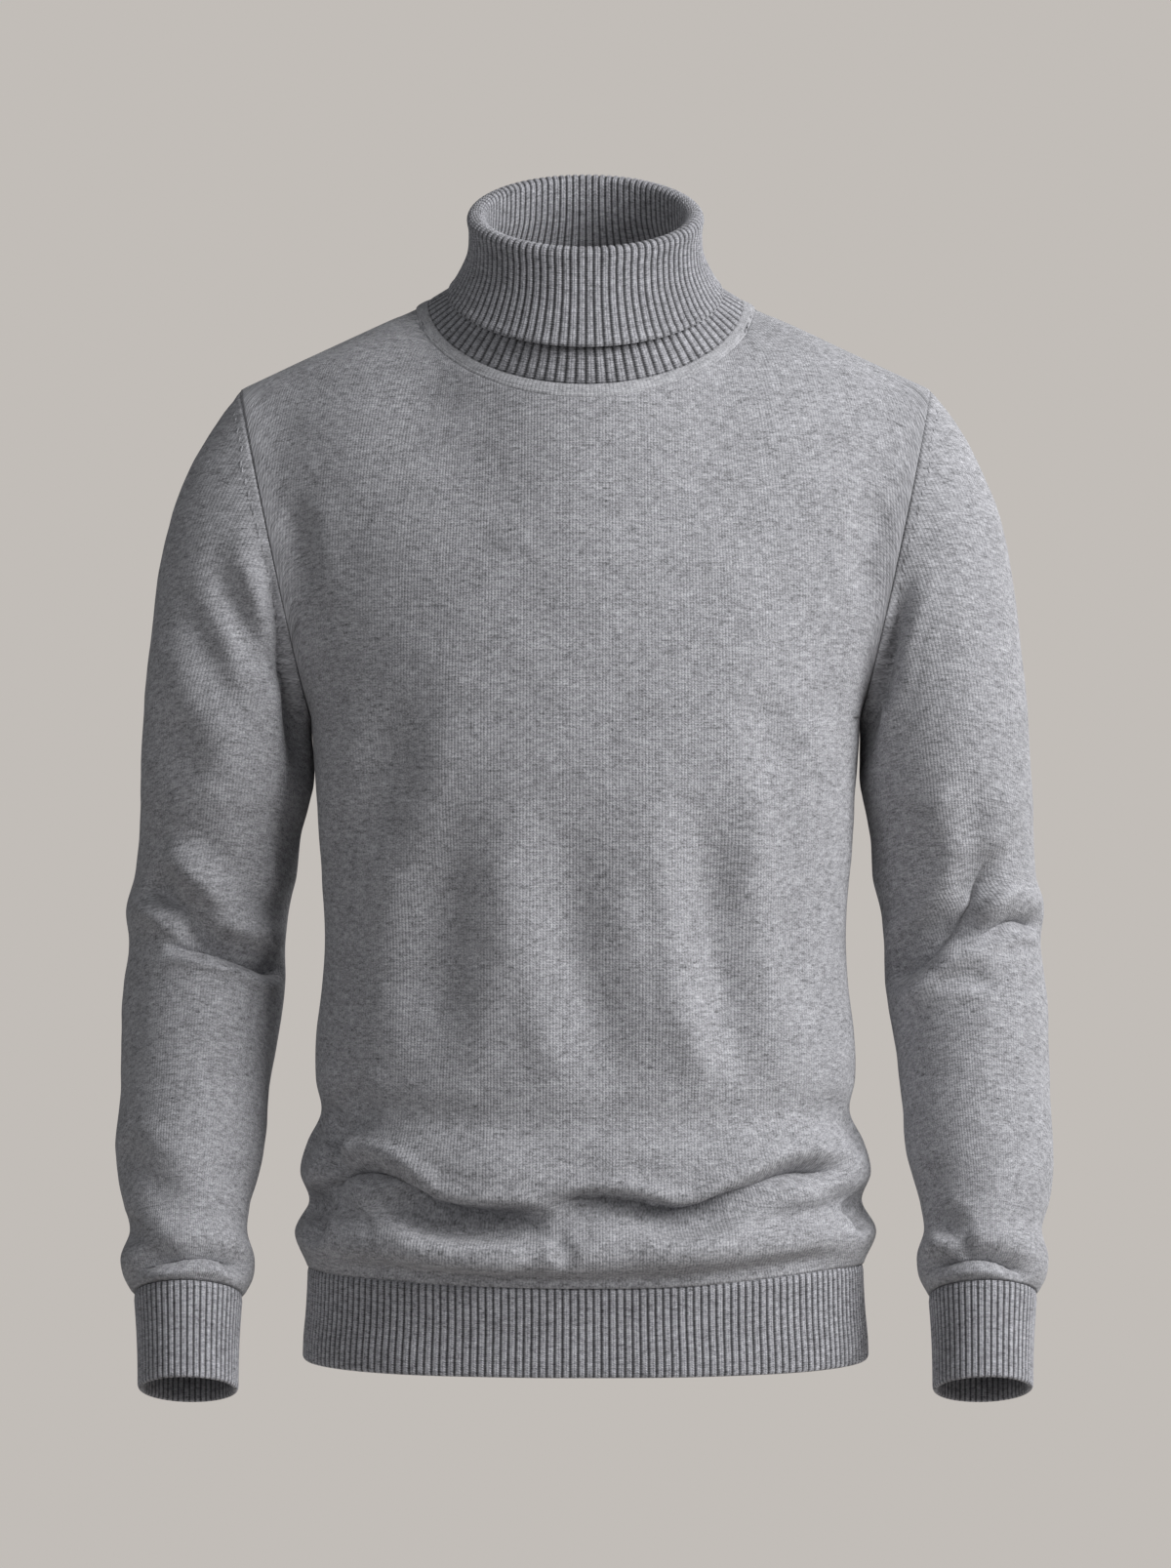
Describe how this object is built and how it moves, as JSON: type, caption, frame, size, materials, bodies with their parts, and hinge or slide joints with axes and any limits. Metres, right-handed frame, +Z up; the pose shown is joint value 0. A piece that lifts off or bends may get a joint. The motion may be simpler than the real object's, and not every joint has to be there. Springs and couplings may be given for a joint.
{
  "type": "turtleneck sweater",
  "caption": "Fine knit turtleneck sweater, hollow and filled out as if worn, with a folded rib collar, set-in long sleeves, rib cuffs and a rib hem.",
  "frame": {"origin": "centre of the neck base, level with the points where the shoulder seams reach the neck", "axes": "+Z up, the front faces -Y, +X towards the wearer's left"},
  "size_m": [0.5842, 0.242, 0.7726],
  "materials": {
    "jersey": "grey melange plain knit, matt",
    "rib": "grey melange one-by-one rib, matt",
    "band": "grey melange plain knit trim, matt"
  },
  "bodies": {
    "root": {"front_panel": "jersey", "back_panel": "jersey", "sleeve_right": "jersey", "sleeve_left": "jersey", "cuff_right": "rib", "cuff_left": "rib", "hem_rib": "rib", "neck_band": "band", "roll_collar": "rib"}
  },
  "joints": []
}
